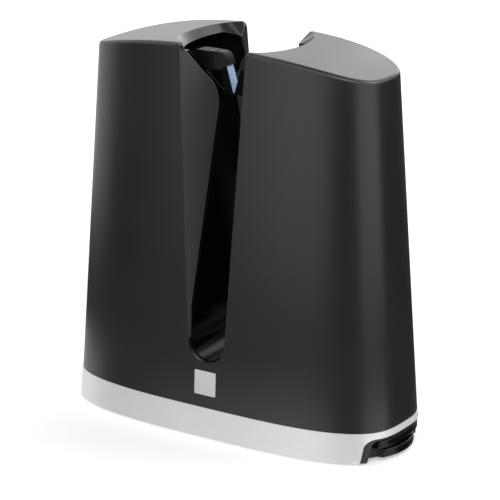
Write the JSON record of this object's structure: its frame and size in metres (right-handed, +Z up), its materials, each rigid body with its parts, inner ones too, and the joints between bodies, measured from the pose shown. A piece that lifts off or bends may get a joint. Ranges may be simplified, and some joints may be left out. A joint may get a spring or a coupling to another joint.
{
  "type": "manual knife sharpener",
  "caption": "Free-standing manual knife sharpener: tapered black hood with a V slot, sprung arms whose abrasive plates meet in a V, silver base band and a storage drawer.",
  "frame": {"origin": "under the middle of the base, on the surface that the rubber feet stand on", "axes": "+Z up, +X towards the drawer end, the knife slot runs along Y and the front is -Y"},
  "size_m": [0.1886, 0.0788, 0.1992],
  "materials": {
    "hood_black": "fine satin texture",
    "liner_black": "polished",
    "band_silver": "satin",
    "inner_black": "plain moulded",
    "rubber_black": "matte",
    "badge_grey": "satin",
    "surround_grey": "satin",
    "drawer_black": "polished",
    "arm_grey": "satin",
    "holder_grey": "satin",
    "plate_blue": "fine abrasive",
    "plate_white": "fine abrasive",
    "steel": "plain",
    "bronze": "sintered"
  },
  "bodies": {
    "housing": {"housing_shell": "hood_black", "slot_liner": "liner_black", "base_band": "band_silver", "base_deck": "inner_black", "bottom_plate": "inner_black", "rubber_feet": "rubber_black", "badge_tile": "badge_grey", "drawer_surround": "surround_grey", "drawer_rails": "inner_black", "left_bracket": "steel", "right_bracket": "steel", "left_axle": "steel", "right_axle": "steel", "left_axle_clips": "steel", "right_axle_clips": "steel", "left_spring": "steel", "right_spring": "steel", "left_bumper": "rubber_black", "right_bumper": "rubber_black", "deck_screws": "steel", "base_screws": "steel", "bracket_screws": "steel"},
    "left_arm": {"left_arm": "arm_grey", "left_bush": "bronze"},
    "right_arm": {"right_arm": "arm_grey", "right_bush": "bronze"},
    "left_cartridge": {"left_holder": "holder_grey", "left_stone": "plate_blue"},
    "right_cartridge": {"right_holder": "holder_grey", "right_stone": "plate_blue"},
    "drawer": {"drawer_tray": "drawer_black", "drawer_front": "drawer_black", "spare_holders": "holder_grey", "spare_stones": "plate_white"}
  },
  "joints": [
    {"name": "left_arm_swing", "type": "hinge", "parent": "housing", "child": "left_arm", "pos_m": [-0.022, -0.008, 0.032], "axis": [0, -1, 0], "range_deg": [0, 2], "stiffness_Nm_per_rad": 1, "springref_deg": -22.92, "deforming": ["left_spring"]},
    {"name": "right_arm_swing", "type": "hinge", "parent": "housing", "child": "right_arm", "pos_m": [0.022, -0.008, 0.032], "axis": [0, 1, 0], "range_deg": [0, 2], "stiffness_Nm_per_rad": 1, "springref_deg": -22.92, "deforming": ["right_spring"]},
    {"name": "left_holder_lift", "type": "slide", "parent": "left_arm", "child": "left_cartridge", "axis": [0, 0, 1], "range_m": [0, 0.032]},
    {"name": "right_holder_lift", "type": "slide", "parent": "right_arm", "child": "right_cartridge", "axis": [0, 0, 1], "range_m": [0, 0.032]},
    {"name": "drawer_slide", "type": "slide", "parent": "housing", "child": "drawer", "axis": [1, 0, 0], "range_m": [0, 0.07]}
  ]
}
